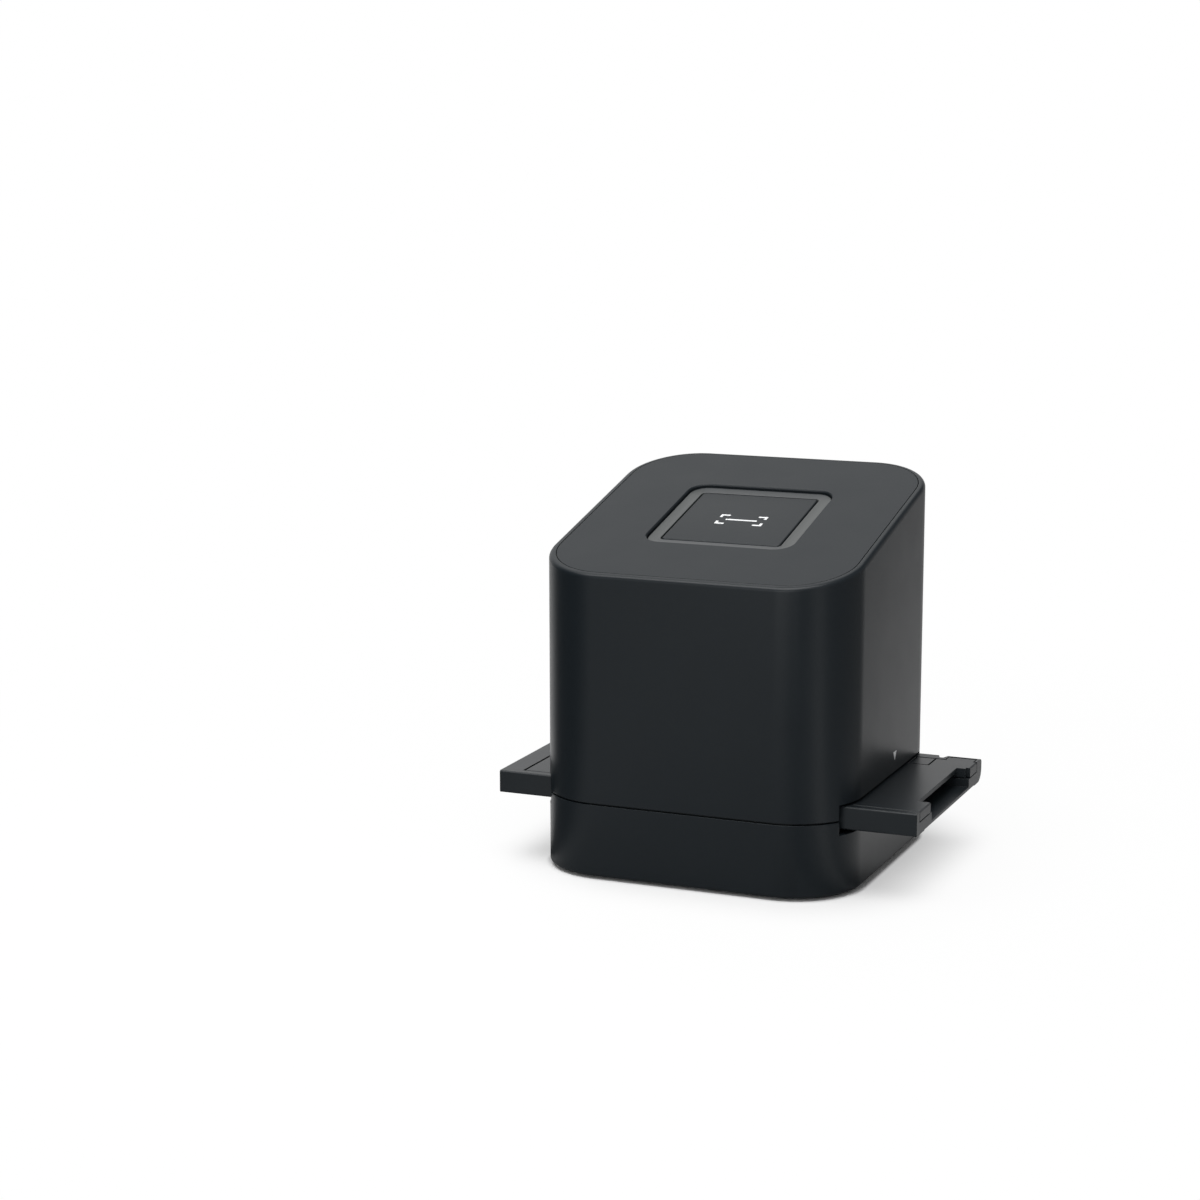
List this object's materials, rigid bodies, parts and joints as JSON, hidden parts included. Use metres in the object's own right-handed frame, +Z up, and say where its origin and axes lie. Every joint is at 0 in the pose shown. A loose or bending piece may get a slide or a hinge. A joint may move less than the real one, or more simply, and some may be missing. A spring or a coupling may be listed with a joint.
{
  "type": "film scanner",
  "caption": "Compact desk-top scanner for 35 mm film: rounded charcoal case with a sloped top, one large scan button, and a film holder that slides through a slot in both side walls.",
  "frame": {"origin": "centre of the case's footprint, on the surface that the feet stand on", "axes": "+Z up, -Y is the front that the sloped top faces, +X is the user's right along the film holder"},
  "size_m": [0.116, 0.087, 0.1018],
  "materials": {
    "case_plastic": "fine satin grain, charcoal",
    "panel_plastic": "fine satin grain, charcoal",
    "ring_plastic": "smoked translucent light guide",
    "button_plastic": "satin, charcoal",
    "holder_plastic": "fine grain, charcoal",
    "foot_rubber": "soft black rubber",
    "screw_steel": "zinc-plated steel",
    "spring_steel": "bright spring steel",
    "board_green": "solder-masked glass epoxy",
    "chip_black": "moulded black epoxy",
    "connector_white": "ivory moulded plastic",
    "led_white": "clear epoxy over a yellow phosphor",
    "reflector_white": "white reflecting plastic",
    "diffuser_milk": "milky sheet",
    "optic_black": "light-absorbing black",
    "lens_metal": "black anodised",
    "lens_glass": "coated optical glass",
    "sensor_glass": "packaged image chip",
    "socket_steel": "nickel-plated shell",
    "ribbon_film": "white flat cable"
  },
  "bodies": {
    "housing": {"base_shell": "case_plastic", "upper_shell": "case_plastic", "top_panel": "panel_plastic", "light_ring": "ring_plastic", "tact_switch": "chip_black", "button_board": "board_green", "button_board_screws": "screw_steel", "ring_leds": "led_white", "rubber_feet": "foot_rubber", "case_screws": "screw_steel", "tray_deck": "optic_black", "deck_screws": "screw_steel", "detent_spring": "spring_steel", "backlight_board": "board_green", "backlight_screws": "screw_steel", "backlight_leds": "led_white", "light_box": "reflector_white", "diffuser": "diffuser_milk", "optic_frame": "optic_black", "optic_frame_screws": "screw_steel", "light_baffle": "optic_black", "baffle_screws": "screw_steel", "lens_holder": "optic_black", "lens_barrel": "lens_metal", "lens_elements": "lens_glass", "sensor_board": "board_green", "image_sensor": "sensor_glass", "sensor_screws": "screw_steel", "main_board": "board_green", "main_board_screws": "screw_steel", "main_chips": "chip_black", "usb_socket": "socket_steel", "sensor_ribbon": "ribbon_film", "backlight_ribbon": "ribbon_film", "button_ribbon": "ribbon_film", "ribbon_connectors": "connector_white"},
    "scan_button": {"scan_button": "button_plastic", "switch_plunger": "connector_white"},
    "film_tray": {"holder_frame": "holder_plastic", "holder_cover": "holder_plastic", "hinge_pins": "spring_steel"}
  },
  "joints": [
    {"name": "button_press", "type": "slide", "parent": "housing", "child": "scan_button", "axis": [0, 0.2351, -0.972], "range_m": [0, 0.0006], "stiffness_N_per_m": 3000},
    {"name": "tray_slide", "type": "slide", "parent": "housing", "child": "film_tray", "axis": [1, 0, 0], "range_m": [-0.0496, 0.104], "deforming": ["detent_spring"]}
  ]
}
